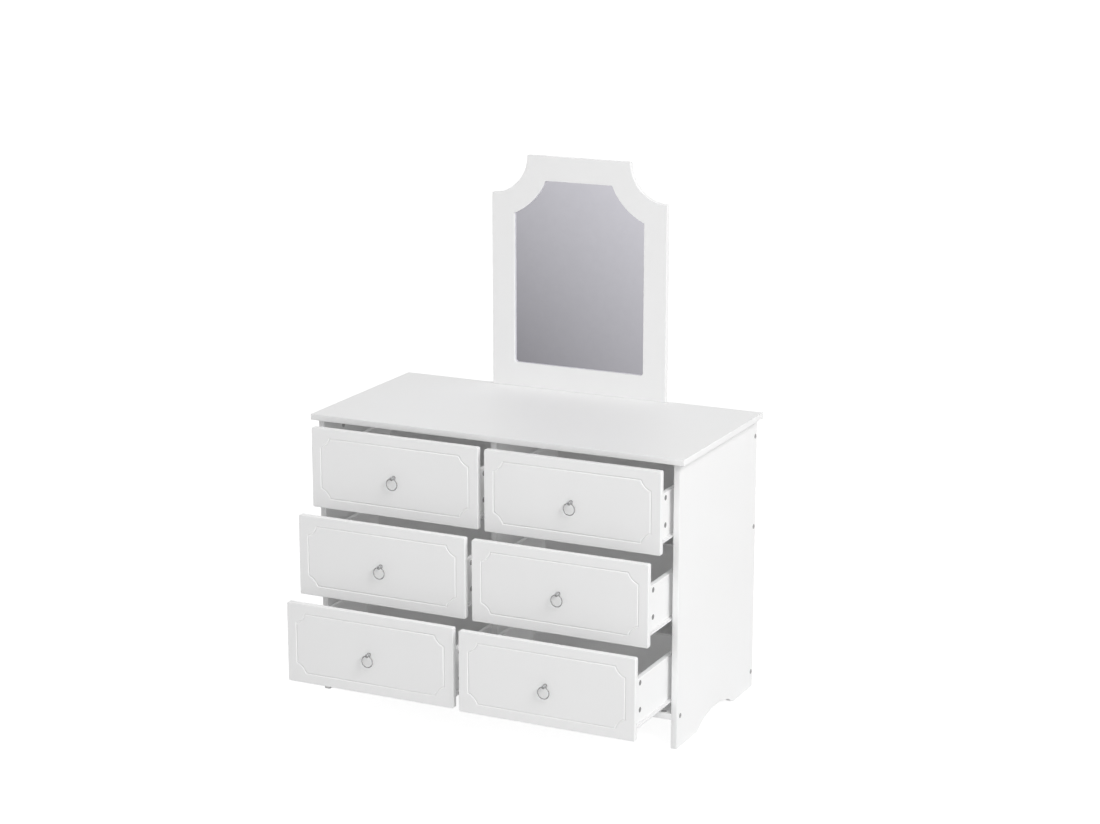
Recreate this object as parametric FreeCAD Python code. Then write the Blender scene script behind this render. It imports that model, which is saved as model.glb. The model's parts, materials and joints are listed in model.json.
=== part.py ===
"""Six-drawer dresser with a mirror standing on its top board.

Millimetres, +Z up, X to the right, drawers opening towards -Y.  The origin is on
the floor, under the middle of everything at rest: from the foremost drawer knob
to the straps behind the mirror.  The drawers rest part-way open, further out from
row to row.  Every node is written to parts/NODE.step.
"""

import FreeCAD, Part
import math
import os

Vector = FreeCAD.Vector

# Boards of the cabinet
BOARD = 15.0             # thickness of the laminated boards
TOP_WIDTH = 1000.0
TOP_DEPTH = 500.0
TOP_HEIGHT = 718.0       # floor to the upper face of the top board
SIDE_OVERHANG = 16.0     # top board past each side panel
FRONT_OVERHANG = 13.0    # top board past the side panels' front edges
TOP_CHAMFER = 1.2        # round all edges of the top board
EDGE_BREAK = 0.6         # broken edge of the other boards
BOTTOM_CLEARANCE = 72.0  # floor to the underside of the bottom board
BACK_SHEET = 3.0         # hardboard behind the rails
RAIL_HEIGHTS = {"bottom": (12.0, 72.0), "middle": (395.0, 455.0), "top": (613.0, 703.0)}

# Scalloped lower edge of the side panels, measured along the panel from its front
FOOT_LENGTH = 115.0
OGEE_RUN = 65.0
OGEE_RISE = 22.0
CREST_HEIGHT = 32.0      # middle of the shallow arch between the two ogees

# Drawer fronts
ROWS = ("top", "middle", "bottom")
COLUMNS = {"left": -1, "right": 1}
FRONT_HEIGHT = 202.0
FRONT_GAP = 2.5          # between one front and the next
FLOOR_GAP = 2.0          # between the bottom row of fronts and the bottom board
SIDE_GAP = 2.25          # between a front and the board beside it
FRONT_CORNER = 4.0       # rounded corners of a front's outline
FRONT_CHAMFER = 1.2      # round a front's face
GROOVE_INSET = 23.0      # outer edge of the routed line from the front's edge
GROOVE_COVE = 27.0       # radius of its scooped corners
GROOVE_WIDTH = 4.5
GROOVE_DEPTH = 1.6
CUTTER_RISE = 0.5        # how far the cutting shape stands out of the face

# Drawer boxes
RUNNER_SPACE = 12.5      # between a drawer's side and the cabinet, taken by the runners
BOX_BOARD = 12.0
BOX_DEPTH = 350.0
BOX_HEIGHT = 118.0
BOX_LIFT = 20.0          # front's lower edge up to the sides' lower edge
BOTTOM_LIFT = 10.0       # sides' lower edge up to the bottom sheet
BOTTOM_SHEET = 3.0
DADO_DEPTH = 5.0         # bottom sheet let into the sides and the front
DADO_PLAY = 0.2

# How far each drawer is drawn out at rest
PULLED = {
    ("top", "left"): 65.0, ("top", "right"): 70.0,
    ("middle", "left"): 134.0, ("middle", "right"): 137.0,
    ("bottom", "left"): 198.0, ("bottom", "right"): 207.0,
}

# Roller runners, in pairs: one member under the drawer's side, one on the cabinet
RUNNER_LENGTH = 345.0
RUNNER_SETBACK = 2.0     # drawer member behind the front's inner face
STEEL = 1.0
ROLLER_RADIUS = 8.5
ROLLER_WIDTH = 5.0
ROLLER_SPACING = 1.6     # between a drawer member and the rollers
ROLLER_END = 10.0        # from a member's end to its roller's axis
ROLLER_PLAY = 0.05       # running clearance of a roller, on its pin and on its track
PIN_RADIUS = 2.5
TRACK_DROP = 10.2        # drawer side's lower edge down to the track of the rear roller
TREAD_LIFT = 9.0         # drawer side's lower edge up to the tread on the front roller
TREAD_REACH = 8.6        # tread's width, outwards from the drawer's side
LIP_DROP = 2.5
HOOK_LIFT = 11.5         # drawer side's lower edge up to the cabinet member's upper flange
FLANGE_REACH = 10.0      # flanges of the cabinet member, inwards from the cabinet
UNDER_REACH = 9.0        # flange of the drawer member, inwards under the drawer's side
TRAVEL = 265.0           # from shut to the stops that the rear rollers meet
STOP_HEIGHT = 3.0        # stop bent up from the track
STOP_PLAY = 0.4          # left between roller and stop

# Ring pulls
KNOB_REACH = 10.5        # front's face out to the eye's centre
EYE_RADIUS = 4.8         # the eye is a drum lying across the neck
EYE_WIDTH = 7.0
EYE_HOLE = 2.4
KNOB_FOOT = 5.2          # radius of the foot against the front
KNOB_FOOT_THICK = 1.0
KNOB_NECK = 2.6
KNOB_NECK_START = 3.5    # where the foot has tapered to the neck
RING_RADIUS = 14.6       # middle of the wire
WIRE_RADIUS = 1.2

# Small round pieces repeat many times, so they are drawn with flat sides whose corners
# lie on the true circle
ROLLER_SIDES = 24
PIN_SIDES = 12
KNOB_SIDES = 16
EYE_SIDES = 20
RING_SIDES = 24
WIRE_SIDES = 6

# Mirror
MIRROR_WIDTH = 484.0
MIRROR_HEIGHT = 600.0    # above the top board
MIRROR_COVE = 100.0      # scooped upper corners
MIRROR_BORDER = 62.0     # board between its outline and the glass opening
OPENING_CORNER = 8.0     # rounded lower corners of the opening
OPENING_CHAMFER = 0.75   # round the front edges of the mirror board
REBATE = 8.0             # width of the rebate that holds the glass from behind
LIP_THICK = 7.0          # board left in front of the glass
GLASS_THICK = 4.0
BACKING_THICK = 3.0
GLASS_PLAY = 0.5
STRAP_WIDTH = 30.0
STRAP_THICK = 2.0
STRAP_SPAN = (630.0, 930.0)
STRAP_FROM_EDGE = 31.0   # mirror board's side edge to the middle of a strap

# Places that follow from the sizes above
REACH = max(PULLED.values()) + KNOB_REACH + EYE_RADIUS - FRONT_OVERHANG
Y_FRONT = REACH / 2 - (TOP_DEPTH + STRAP_THICK) / 2   # front edge of the top board
Y_REAR = Y_FRONT + TOP_DEPTH
Y_FACE = Y_FRONT + FRONT_OVERHANG                     # side panels' edges, shut fronts
Y_RAIL = Y_REAR - BACK_SHEET - BOARD                  # front faces of the back rails
X_OUTER = TOP_WIDTH / 2 - SIDE_OVERHANG
X_INNER = X_OUTER - BOARD
BAY_WIDTH = X_INNER - BOARD / 2
BAY_MIDDLE = (X_INNER + BOARD / 2) / 2
Z_UNDER_TOP = TOP_HEIGHT - BOARD
Z_FLOOR_BOARD = BOTTOM_CLEARANCE + BOARD
ROW_PITCH = FRONT_HEIGHT + FRONT_GAP
Z_TOP_ROW = Z_FLOOR_BOARD + FLOOR_GAP + 2 * ROW_PITCH
FRONT_HALF = BAY_WIDTH / 2 - SIDE_GAP
BOX_HALF = BAY_WIDTH / 2 - RUNNER_SPACE

# Places of the rollers on a shut drawer: inner face outwards from the drawer's side,
# axis up from the side's lower edge, and axis back from the front's face
ROLLER_OUT = STEEL + ROLLER_SPACING
FRONT_ROLLER_UP = TREAD_LIFT - ROLLER_RADIUS - ROLLER_PLAY
REAR_ROLLER_UP = ROLLER_RADIUS + ROLLER_PLAY - TRACK_DROP
FRONT_ROLLER_Y = BOARD + RUNNER_SETBACK + ROLLER_END
REAR_ROLLER_Y = BOARD + RUNNER_SETBACK + RUNNER_LENGTH - ROLLER_END


def board(x, y, z):
    """A plain board between three (low, high) spans."""
    return Part.makeBox(x[1] - x[0], y[1] - y[0], z[1] - z[0], Vector(x[0], y[0], z[0]))


def eased_board(x, y, z):
    """A board with all its edges broken."""
    plain = board(x, y, z)
    return plain.makeChamfer(EDGE_BREAK, plain.Edges)


def runs_along(edge, direction):
    """Whether a straight edge is parallel to a direction."""
    return edge.Curve.TypeId == "Part::GeomLine" and abs(abs(edge.Curve.Direction * direction) - 1) < 1e-6


def lies_on(edge, axis, value):
    """Whether every point of an edge has one value of x, y or z."""
    box = edge.BoundBox
    low = getattr(box, axis + "Min")
    high = getattr(box, axis + "Max")
    return abs(low - value) < 1e-4 and abs(high - value) < 1e-4


def both_sides(shape):
    """A shape and its mirror image across the middle plane x = 0."""
    return [shape, shape.mirror(Vector(0, 0, 0), Vector(1, 0, 0))]


def slab(wire, sweep):
    """The solid that a closed flat outline sweeps along a vector."""
    return Part.Face(wire).extrude(sweep)


def round_corners(radius, sides, along, centre):
    """Corners of a many-sided outline, on a circle that is square to a vector."""
    first = Vector(0, 0, radius)
    turns = [FreeCAD.Rotation(along, 360 * side / sides) for side in range(sides)]
    return [centre + turn.multVec(first) for turn in turns]


def closed_outline(corners):
    """Wire through all corners and back to the first."""
    return Part.makePolygon(corners + corners[:1])


def bar_across(radius, sides, start, length):
    """A round bar along X, drawn with flat sides."""
    across = Vector(1, 0, 0)
    return slab(closed_outline(round_corners(radius, sides, across, start)), across * length)


def bore_across(radius, sides, start, length):
    """A round hole along X, drawn with flat sides that lie outside the true circle."""
    return bar_across(radius / math.cos(math.pi / sides), sides, start, length)


def skin(outlines):
    """Flat faces that join each outline's corners to the next outline's."""
    faces = []
    for near, far in zip(outlines, outlines[1:]):
        for corner in range(len(near)):
            after = (corner + 1) % len(near)
            faces.append(Part.Face(closed_outline([near[corner], near[after], far[after], far[corner]])))
    return faces


def solid_in(faces):
    """The solid that a closed set of faces bounds."""
    solid = Part.makeSolid(Part.makeShell(faces))
    return solid if solid.Volume > 0 else solid.reversed()


# Cabinet

def top_panel():
    """Top board with chamfered edges."""
    plain = board((-TOP_WIDTH / 2, TOP_WIDTH / 2), (Y_FRONT, Y_REAR), (Z_UNDER_TOP, TOP_HEIGHT))
    return plain.makeChamfer(TOP_CHAMFER, plain.Edges)


def ogee(start, end):
    """Two equal tangent arcs from start to end, level at both ends, in the plane x = 0."""
    run = (end.y - start.y) / 2
    rise = (end.z - start.z) / 2
    radius = (run ** 2 + rise ** 2) / (2 * rise)
    half_turn = math.asin(run / radius) / 2
    middle = (start + end) / 2
    bend = Vector(0, radius * math.sin(half_turn), radius * (1 - math.cos(half_turn)))
    return [Part.Arc(start, start + bend, middle).toShape(), Part.Arc(middle, end - bend, end).toShape()]


def scallop():
    """Lower edge of a side panel from front to rear: foot, ogee, shallow arch, ogee, foot."""
    length = Y_REAR - Y_FACE

    def at(along, height):
        return Vector(0, Y_FACE + along, height)

    def mirrored(point):
        return Vector(0, 2 * Y_FACE + length - point.y, point.z)

    toe = at(0, 0)
    heel = at(FOOT_LENGTH, 0)
    shoulder = at(FOOT_LENGTH + OGEE_RUN, OGEE_RISE)
    crest = at(length / 2, CREST_HEIGHT)
    edges = [Part.makeLine(toe, heel)] + ogee(heel, shoulder)
    edges.append(Part.Arc(shoulder, crest, mirrored(shoulder)).toShape())
    edges += ogee(mirrored(shoulder), mirrored(heel))
    edges.append(Part.makeLine(mirrored(heel), mirrored(toe)))
    return edges


def side_panel(side):
    """Side panel with its scalloped lower edge; side is -1 on the left and 1 on the right."""
    corners = [
        Vector(0, Y_REAR, 0), Vector(0, Y_REAR, Z_UNDER_TOP),
        Vector(0, Y_FACE, Z_UNDER_TOP), Vector(0, Y_FACE, 0),
    ]
    outline = Part.Wire(scallop() + Part.makePolygon(corners).Edges)
    panel = slab(outline, Vector(BOARD, 0, 0))
    upright = [e for e in panel.Edges if runs_along(e, Vector(0, 0, 1)) and lies_on(e, "Y", Y_FACE)]
    panel = panel.makeChamfer(EDGE_BREAK, upright)
    panel.translate(Vector(X_INNER if side > 0 else -X_OUTER, 0, 0))
    return panel


def back_rails():
    """The three boards across the back that the connecting bolts pull tight."""
    return [board((-X_INNER, X_INNER), (Y_RAIL, Y_RAIL + BOARD), span) for span in RAIL_HEIGHTS.values()]


def cabinet_parts():
    """Boards and sheets of the cabinet."""
    inside = (-X_INNER, X_INNER)
    above_floor_board = (Z_FLOOR_BOARD, Z_UNDER_TOP)
    sheet_foot = sum(RAIL_HEIGHTS["bottom"]) / 2
    return {
        "top_panel": [top_panel()],
        "side_panel_left": [side_panel(-1)],
        "side_panel_right": [side_panel(1)],
        "centre_divider": [eased_board((-BOARD / 2, BOARD / 2), (Y_FACE, Y_RAIL), above_floor_board)],
        "bottom_panel": [eased_board(inside, (Y_FACE, Y_RAIL + BOARD), (BOTTOM_CLEARANCE, Z_FLOOR_BOARD))],
        "back_rails": back_rails(),
        "back_panel": [board(inside, (Y_REAR - BACK_SHEET, Y_REAR), (sheet_foot, Z_UNDER_TOP))],
    }


# Drawers.  Each is made shut, with its origin in the middle of the front's lower edge,
# on the front's face, and is then moved to its bay.

def scooped_rectangle(half_width, half_height, cove, inset, y):
    """Closed outline, in a plane of constant y, of a rectangle with scooped-out corners.

    The scoops stay centred on the corners of the full rectangle, so outlines of
    different inset run side by side at an even distance.
    """
    radius = cove + inset
    meets = math.sqrt(radius ** 2 - inset ** 2)
    edges = []
    last = None
    for x_sign, z_sign in ((-1, 1), (1, 1), (1, -1), (-1, -1)):
        on_level = Vector(x_sign * (half_width - meets), y, z_sign * (half_height - inset))
        on_upright = Vector(x_sign * (half_width - inset), y, z_sign * (half_height - meets))
        deep = radius * math.sqrt(0.5)
        bottom = Vector(x_sign * (half_width - deep), y, z_sign * (half_height - deep))
        first, second = (on_upright, on_level) if x_sign == z_sign * -1 else (on_level, on_upright)
        if last is not None:
            edges.append(Part.makeLine(last, first))
        edges.append(Part.Arc(first, bottom, second).toShape())
        last = second
    edges.append(Part.makeLine(last, edges[0].Vertexes[0].Point))
    return Part.Wire(edges)


def routed_line():
    """The V-shaped channel cut into a front's face, as a solid to take away."""
    half_width = FRONT_HALF - GROOVE_INSET
    half_height = FRONT_HEIGHT / 2 - GROOVE_INSET
    spill = CUTTER_RISE * GROOVE_WIDTH / 2 / GROOVE_DEPTH

    def outline(inset, y):
        wire = scooped_rectangle(half_width, half_height, GROOVE_COVE, inset, y)
        wire.translate(Vector(0, 0, FRONT_HEIGHT / 2))
        return wire

    bed = outline(GROOVE_WIDTH / 2, GROOVE_DEPTH)
    outer = Part.makeLoft([outline(-spill, -CUTTER_RISE), bed], True, True)
    inner = Part.makeLoft([outline(GROOVE_WIDTH + spill, -CUTTER_RISE), bed], True, True)
    return outer.cut(inner)


def drawer_front():
    """Front with rounded corners, a chamfered face, the routed line and the bottom's dado."""
    front = board((-FRONT_HALF, FRONT_HALF), (0, BOARD), (0, FRONT_HEIGHT))
    front = front.makeFillet(FRONT_CORNER, [e for e in front.Edges if runs_along(e, Vector(0, 1, 0))])
    front = front.makeChamfer(FRONT_CHAMFER, [e for e in front.Edges if lies_on(e, "Y", 0)])
    sheet = BOX_LIFT + BOTTOM_LIFT
    half = BOX_HALF - BOX_BOARD + DADO_DEPTH + DADO_PLAY
    dado = board((-half, half), (BOARD - DADO_DEPTH - DADO_PLAY, BOARD),
                 (sheet, sheet + BOTTOM_SHEET + DADO_PLAY))
    return front.cut(dado).cut(routed_line())


def drawer_box():
    """The two sides, with their dados, and the back, which stands on the bottom sheet."""
    rear = BOARD + BOX_DEPTH
    sheet = BOX_LIFT + BOTTOM_LIFT
    top = BOX_LIFT + BOX_HEIGHT
    inner = BOX_HALF - BOX_BOARD
    side = eased_board((inner, BOX_HALF), (BOARD, rear), (BOX_LIFT, top))
    dado = board((inner, inner + DADO_DEPTH + DADO_PLAY), (BOARD, rear),
                 (sheet, sheet + BOTTOM_SHEET + DADO_PLAY))
    back = board((-inner, inner), (rear - BOX_BOARD, rear), (sheet + BOTTOM_SHEET, top - EDGE_BREAK))
    return both_sides(side.cut(dado)) + [back]


def drawer_bottom():
    """Bottom sheet, let into the front and the sides."""
    half = BOX_HALF - BOX_BOARD + DADO_DEPTH
    sheet = BOX_LIFT + BOTTOM_LIFT
    return board((-half, half), (BOARD - DADO_DEPTH, BOARD + BOX_DEPTH), (sheet, sheet + BOTTOM_SHEET))


def runner_outline(corners, y):
    """Closed outline of a pressed-steel section.

    Each corner is (out, up): outwards from the drawer side's outer face, and up
    from its lower edge.
    """
    points = [Vector(BOX_HALF + out, y, BOX_LIFT + up) for out, up in corners]
    return Part.Wire(Part.makePolygon(points + points[:1]))


def roller_pin(out_from, out_to, y, up):
    """The pin that a roller turns on."""
    start = Vector(BOX_HALF + out_from, y, BOX_LIFT + up)
    return bar_across(PIN_RADIUS, PIN_SIDES, start, out_to - out_from)


def drawer_runners():
    """Drawer members: a flange under the side, a web, a tread with a lip, and the rear pin."""
    y = BOARD + RUNNER_SETBACK
    section = runner_outline([
        (-UNDER_REACH, -STEEL), (STEEL, -STEEL), (STEEL, TREAD_LIFT),
        (TREAD_REACH, TREAD_LIFT), (TREAD_REACH, TREAD_LIFT - LIP_DROP),
        (TREAD_REACH + STEEL, TREAD_LIFT - LIP_DROP), (TREAD_REACH + STEEL, TREAD_LIFT + STEEL),
        (0, TREAD_LIFT + STEEL), (0, 0), (-UNDER_REACH, 0),
    ], y)
    member = slab(section, Vector(0, RUNNER_LENGTH, 0))
    ear = board((BOX_HALF, BOX_HALF + STEEL), (REAR_ROLLER_Y - ROLLER_END, REAR_ROLLER_Y + ROLLER_END),
                (BOX_LIFT + REAR_ROLLER_UP - 2 * PIN_RADIUS, BOX_LIFT))
    pin = roller_pin(0, ROLLER_OUT + ROLLER_WIDTH, REAR_ROLLER_Y, REAR_ROLLER_UP)
    return both_sides(member.fuse([ear, pin]).removeSplitter())


def cabinet_runner_pair():
    """Cabinet members of one drawer: a channel with a track, a stop, an upper flange and the front pin."""
    y = BOARD + RUNNER_SETBACK
    wall = RUNNER_SPACE
    edge = RUNNER_SPACE - FLANGE_REACH
    section = runner_outline([
        (edge, -TRACK_DROP - STEEL), (wall, -TRACK_DROP - STEEL), (wall, HOOK_LIFT + STEEL),
        (edge, HOOK_LIFT + STEEL), (edge, HOOK_LIFT), (wall - STEEL, HOOK_LIFT),
        (wall - STEEL, -TRACK_DROP), (edge, -TRACK_DROP),
    ], y)
    member = slab(section, Vector(0, RUNNER_LENGTH, 0))
    pin = roller_pin(ROLLER_OUT, wall - STEEL, FRONT_ROLLER_Y, FRONT_ROLLER_UP)
    half_chord = math.sqrt(ROLLER_RADIUS ** 2 - (ROLLER_RADIUS - STOP_HEIGHT) ** 2)
    meets = REAR_ROLLER_Y - TRAVEL - half_chord - STOP_PLAY
    stop = board((BOX_HALF + edge, BOX_HALF + wall), (meets - STEEL, meets),
                 (BOX_LIFT - TRACK_DROP, BOX_LIFT - TRACK_DROP + STOP_HEIGHT))
    return both_sides(member.fuse([pin, stop]).removeSplitter())


def roller_pair(y, up):
    """The two rollers of a drawer on one axis, bored to turn on their pins."""
    inner_end = Vector(BOX_HALF + ROLLER_OUT, y, BOX_LIFT + up)
    wheel = bar_across(ROLLER_RADIUS, ROLLER_SIDES, inner_end, ROLLER_WIDTH)
    bore = bore_across(PIN_RADIUS + ROLLER_PLAY, PIN_SIDES, inner_end, ROLLER_WIDTH)
    return both_sides(wheel.cut(bore))


def knob():
    """Turned foot and neck ending in a drum-shaped eye, drilled across for the ring."""
    out = Vector(0, -1, 0)
    stations = [
        (KNOB_FOOT, 0), (KNOB_FOOT, KNOB_FOOT_THICK), (KNOB_NECK, KNOB_NECK_START),
        (KNOB_NECK, KNOB_REACH - EYE_HOLE),
    ]
    outlines = [round_corners(radius, KNOB_SIDES, out, out * reach) for radius, reach in stations]
    ends = [Part.Face(closed_outline(corners)) for corners in (outlines[0], outlines[-1])]
    turned = solid_in(skin(outlines) + ends)
    drum_end = Vector(-EYE_WIDTH / 2, -KNOB_REACH, 0)
    drum = bar_across(EYE_RADIUS, EYE_SIDES, drum_end, EYE_WIDTH)
    hole = bore_across(EYE_HOLE, PIN_SIDES, drum_end, EYE_WIDTH)
    eye = turned.fuse(drum).removeSplitter().cut(hole)
    eye.translate(Vector(0, 0, FRONT_HEIGHT / 2))
    return eye


def ring():
    """Wire ring hanging in the knob's eye, at rest straight down."""
    centre = Vector(0, -KNOB_REACH, FRONT_HEIGHT / 2 - RING_RADIUS)
    section = round_corners(WIRE_RADIUS, WIRE_SIDES, Vector(1, 0, 0), Vector(0, 0, RING_RADIUS))
    turns = [FreeCAD.Rotation(Vector(0, 1, 0), 360 * (side + 0.5) / RING_SIDES) for side in range(RING_SIDES)]
    outlines = [[centre + turn.multVec(corner) for corner in section] for turn in turns]
    return solid_in(skin(outlines + outlines[:1]))


def drawer_parts():
    """Pieces of one shut drawer, by the names that its nodes start with."""
    return {
        "front": [drawer_front()],
        "box": drawer_box(),
        "bottom": [drawer_bottom()],
        "runners": drawer_runners(),
        "rear_rollers": roller_pair(REAR_ROLLER_Y, REAR_ROLLER_UP),
        "knob": [knob()],
        "ring": [ring()],
    }


def bay_origin(row, column):
    """Where a shut drawer's origin lies."""
    return Vector(COLUMNS[column] * BAY_MIDDLE, Y_FACE, Z_TOP_ROW - ROWS.index(row) * ROW_PITCH)


def moved(shapes, by):
    """Copies of shapes, moved by a vector."""
    return [shape.translated(by) for shape in shapes]


def all_drawers():
    """Every drawer, drawn out as at rest, with the runners and rollers of its bay."""
    drawer = drawer_parts()
    front_rollers = roller_pair(FRONT_ROLLER_Y, FRONT_ROLLER_UP)
    cabinet_members = cabinet_runner_pair()
    nodes = {"cabinet_runners": []}
    for (row, column), pulled in PULLED.items():
        bay = bay_origin(row, column)
        place = f"{row}_{column}"
        for piece, shapes in drawer.items():
            nodes[f"{piece}_{place}"] = moved(shapes, bay - Vector(0, pulled, 0))
        nodes[f"front_rollers_{place}"] = moved(front_rollers, bay)
        nodes["cabinet_runners"] += moved(cabinet_members, bay)
    return nodes


# Mirror

def mirror_outline(offset, bottom_radius, y):
    """Outline of the mirror board drawn inwards by an offset.

    The two upper corners are scooped out round the board's own corners; the lower
    corners are square, or rounded to bottom_radius.
    """
    half = MIRROR_WIDTH / 2
    top = TOP_HEIGHT + MIRROR_HEIGHT
    low = TOP_HEIGHT + offset
    radius = MIRROR_COVE + offset
    meets = math.sqrt(radius ** 2 - offset ** 2)
    deep = radius * math.sqrt(0.5)

    rounding = bottom_radius * (1 - math.sqrt(0.5))
    right = [
        Vector(half - offset - bottom_radius, y, low),
        Vector(half - offset - rounding, y, low + rounding),
        Vector(half - offset, y, low + bottom_radius),
        Vector(half - offset, y, top - meets),
        Vector(half - deep, y, top - deep),
        Vector(half - meets, y, top - offset),
    ]
    left = [Vector(-p.x, p.y, p.z) for p in reversed(right)]
    edges = [
        Part.makeLine(left[-1], right[0]),
        Part.makeLine(right[2], right[3]),
        Part.Arc(*right[3:]).toShape(),
        Part.makeLine(right[-1], left[0]),
        Part.Arc(*left[:3]).toShape(),
        Part.makeLine(left[2], left[3]),
    ]
    if bottom_radius:
        edges.insert(1, Part.Arc(*right[:3]).toShape())
        edges.append(Part.Arc(*left[3:]).toShape())
    return Part.Wire(edges)


def mirror_frame():
    """One board, scooped at its upper corners, with the opening and the rebate behind it."""
    y = Y_REAR - BOARD
    frame = slab(mirror_outline(0, 0, y), Vector(0, BOARD, 0))
    opening = slab(mirror_outline(MIRROR_BORDER, OPENING_CORNER, y), Vector(0, BOARD, 0))
    rebate_outline = mirror_outline(MIRROR_BORDER - REBATE, OPENING_CORNER + REBATE, y + LIP_THICK)
    rebate = slab(rebate_outline, Vector(0, BOARD - LIP_THICK, 0))
    frame = frame.cut(opening)
    frame = frame.makeChamfer(OPENING_CHAMFER, [e for e in frame.Edges if lies_on(e, "Y", y)])
    return frame.cut(rebate)


def mirror_pane(thickness, y):
    """A sheet cut to fit the rebate: the glass, or the backing behind it."""
    outline = mirror_outline(MIRROR_BORDER - REBATE + GLASS_PLAY, OPENING_CORNER + REBATE - GLASS_PLAY, y)
    return slab(outline, Vector(0, thickness, 0))


def mirror_strap(side):
    """Flat steel strap with round ends, screwed to the mirror board and to the top rail."""
    x = side * (MIRROR_WIDTH / 2 - STRAP_FROM_EDGE)
    low, high = STRAP_SPAN
    radius = STRAP_WIDTH / 2
    bar = board((x - radius, x + radius), (Y_REAR, Y_REAR + STRAP_THICK), (low + radius, high - radius))
    ends = [Part.makeCylinder(radius, STRAP_THICK, Vector(x, Y_REAR, z), Vector(0, 1, 0))
            for z in (low + radius, high - radius)]
    return bar.fuse(ends).removeSplitter()


def mirror_parts():
    """The mirror and what holds it upright."""
    glass_y = Y_REAR - BOARD + LIP_THICK
    return {
        "mirror_frame": [mirror_frame()],
        "mirror_glass": [mirror_pane(GLASS_THICK, glass_y)],
        "mirror_backing": [mirror_pane(BACKING_THICK, glass_y + GLASS_THICK)],
        "mirror_straps": [mirror_strap(-1), mirror_strap(1)],
    }


def main():
    """Build every node and write its STEP file."""
    os.makedirs("parts", exist_ok=True)
    nodes = {**cabinet_parts(), **all_drawers(), **mirror_parts()}
    for name, solids in nodes.items():
        for solid in solids:
            if not solid.isValid() or len(solid.Solids) != 1:
                raise ValueError(f"{name} is not one valid solid")
        shape = solids[0] if len(solids) == 1 else Part.makeCompound(solids)
        shape.exportStep(f"parts/{name}.step")
    print(len(nodes), "nodes")


main()
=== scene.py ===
"""Looks of a six-drawer dresser with a mirror on its top board.

Metres, +Z up, X to the right, drawers opening towards -Y.  Every piece is made where the
packed construction has it at rest and rides on the body that carries it.  Boards, fronts,
the mirror's frame, screws, rings and rollers are closed surfaces worked out as whole
arrays of points: loops of equal length that follow one another, joined by faces.
"""

import json
import logging
import math
from collections.abc import Iterable
from dataclasses import dataclass
from enum import Enum

import bpy
import numpy as np
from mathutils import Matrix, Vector

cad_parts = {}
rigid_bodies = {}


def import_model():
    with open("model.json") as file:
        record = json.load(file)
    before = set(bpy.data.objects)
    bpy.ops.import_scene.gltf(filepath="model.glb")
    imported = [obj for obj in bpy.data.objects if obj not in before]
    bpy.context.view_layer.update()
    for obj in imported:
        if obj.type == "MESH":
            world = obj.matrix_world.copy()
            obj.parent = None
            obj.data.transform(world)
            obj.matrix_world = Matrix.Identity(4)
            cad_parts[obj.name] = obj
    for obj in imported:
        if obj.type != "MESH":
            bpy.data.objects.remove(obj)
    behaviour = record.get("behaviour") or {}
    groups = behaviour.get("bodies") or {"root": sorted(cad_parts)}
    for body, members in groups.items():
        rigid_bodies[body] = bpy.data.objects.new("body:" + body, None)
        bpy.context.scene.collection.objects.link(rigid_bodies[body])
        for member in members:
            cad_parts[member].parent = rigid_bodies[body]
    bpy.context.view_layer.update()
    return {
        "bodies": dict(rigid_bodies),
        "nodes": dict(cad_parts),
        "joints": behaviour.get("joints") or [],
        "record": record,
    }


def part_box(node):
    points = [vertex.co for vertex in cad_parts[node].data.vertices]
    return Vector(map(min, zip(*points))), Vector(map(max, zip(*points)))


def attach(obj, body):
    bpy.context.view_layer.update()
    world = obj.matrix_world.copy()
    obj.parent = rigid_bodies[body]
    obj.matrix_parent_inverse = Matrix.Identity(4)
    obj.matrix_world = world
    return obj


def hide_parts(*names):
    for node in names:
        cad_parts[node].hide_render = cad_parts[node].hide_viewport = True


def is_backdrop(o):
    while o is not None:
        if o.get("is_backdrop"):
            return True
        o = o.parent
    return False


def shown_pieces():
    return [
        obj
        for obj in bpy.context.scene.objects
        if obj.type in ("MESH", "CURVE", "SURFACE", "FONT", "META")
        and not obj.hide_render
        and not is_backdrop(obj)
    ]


Socket = bpy.types.NodeSocket
Colour = tuple[float, float, float, float]
Triple = tuple[float, float, float]
Pair = tuple[float, float]

MM = 0.001
QUARTER = math.pi / 2
SMOOTH_UP_TO = math.radians(40)
PAST_ROLL = 1.2         # how many radii inside an edge its flat face starts to shade flat
FIBRE_DEPTH = 0.5 * MM  # how near a sheet's rear face its fibre lies bare

log = logging.getLogger("dresser")


class Row(Enum):
    """Rows of drawers, from the top."""

    TOP = "top"
    MIDDLE = "middle"
    BOTTOM = "bottom"


class Column(Enum):
    """Columns of drawers, and the cabinet's two sides."""

    LEFT = "left"
    RIGHT = "right"


class Plane(Enum):
    """Which of an outline's u and v and of the sweep's w gives x, y and z."""

    LEVEL = (0, 1, 2)
    FRONTAL = (0, 2, 1)
    SIDEWAYS = (2, 0, 1)


class Facing(Enum):
    """Axis and sense in which the head of a screw, or a lathe's axis, points."""

    RIGHT = (0, 1.0)
    LEFT = (0, -1.0)
    REAR = (1, 1.0)
    FRONT = (1, -1.0)
    UP = (2, 1.0)


class Ends(Enum):
    """How a stack of loops is closed."""

    CAPPED = "a flat face on the first and the last loop"
    JOINED = "the last loop joined to the first"


class Drive(Enum):
    """Recess in the head of a screw."""

    HEXAGON = "hexagon socket"
    CROSS = "cross recess"
    NONE = "plain head"


# Shapes

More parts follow.
